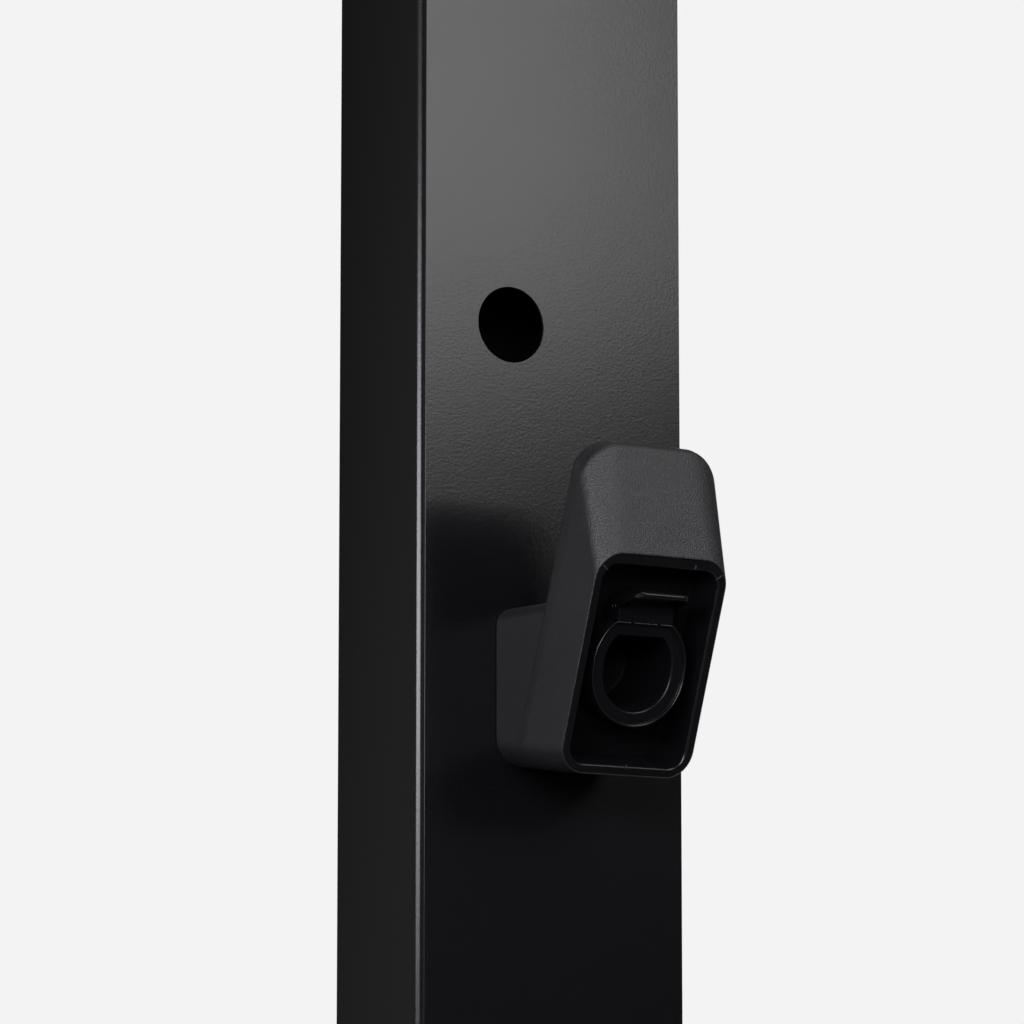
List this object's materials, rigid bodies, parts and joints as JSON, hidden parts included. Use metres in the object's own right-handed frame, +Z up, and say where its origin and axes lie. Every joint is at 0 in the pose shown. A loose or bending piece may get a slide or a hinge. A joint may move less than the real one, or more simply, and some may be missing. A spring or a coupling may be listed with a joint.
{
  "type": "ev charger mounting pole",
  "caption": "Floor-standing folded steel pole with a textured front panel, a round cable hole and a moulded, tilted holster with a D-shaped socket for parking a charging plug.",
  "frame": {"origin": "floor level, in the middle of the anchor slots, under the folded body's centre", "axes": "+Z up along the pole, -Y out of the front panel, +X to the right seen from the front"},
  "size_m": [0.25, 0.3162, 1.5],
  "materials": {
    "powder_smooth": "satin black powder coat",
    "powder_wrinkle": "black powder coat with a fine leathery wrinkle",
    "moulded_matte": "fine spark-eroded grain",
    "moulded_gloss": "smooth satin gloss",
    "black_oxide": "black coated steel",
    "zinc_plate": "zinc plated",
    "brass": "turned",
    "pin_steel": "ground",
    "seal_foam": "closed-cell foam"
  },
  "bodies": {
    "root": {"pole_body": "powder_smooth", "base_plate": "powder_smooth", "base_gussets": "powder_smooth", "top_cap": "powder_smooth", "panel_hooks": "powder_smooth", "front_panel": "powder_wrinkle", "holster_housing": "moulded_matte", "holster_liner": "moulded_gloss", "socket_collar": "moulded_gloss", "latch_block": "moulded_gloss", "panel_lock_screws": "black_oxide", "cap_screws": "black_oxide", "panel_lock_nuts": "zinc_plate", "cap_rivet_nuts": "zinc_plate", "charger_rivet_nuts": "zinc_plate", "socket_screws": "zinc_plate", "holster_screws": "zinc_plate", "holster_washers": "zinc_plate", "cable_rail": "zinc_plate", "din_rail": "zinc_plate", "rail_standoffs": "zinc_plate", "rail_screws": "zinc_plate", "earth_washers": "zinc_plate", "holster_inserts": "brass", "earth_stud": "brass", "earth_nut": "brass", "latch_pin": "pin_steel", "holster_gasket": "seal_foam"}
  },
  "joints": []
}
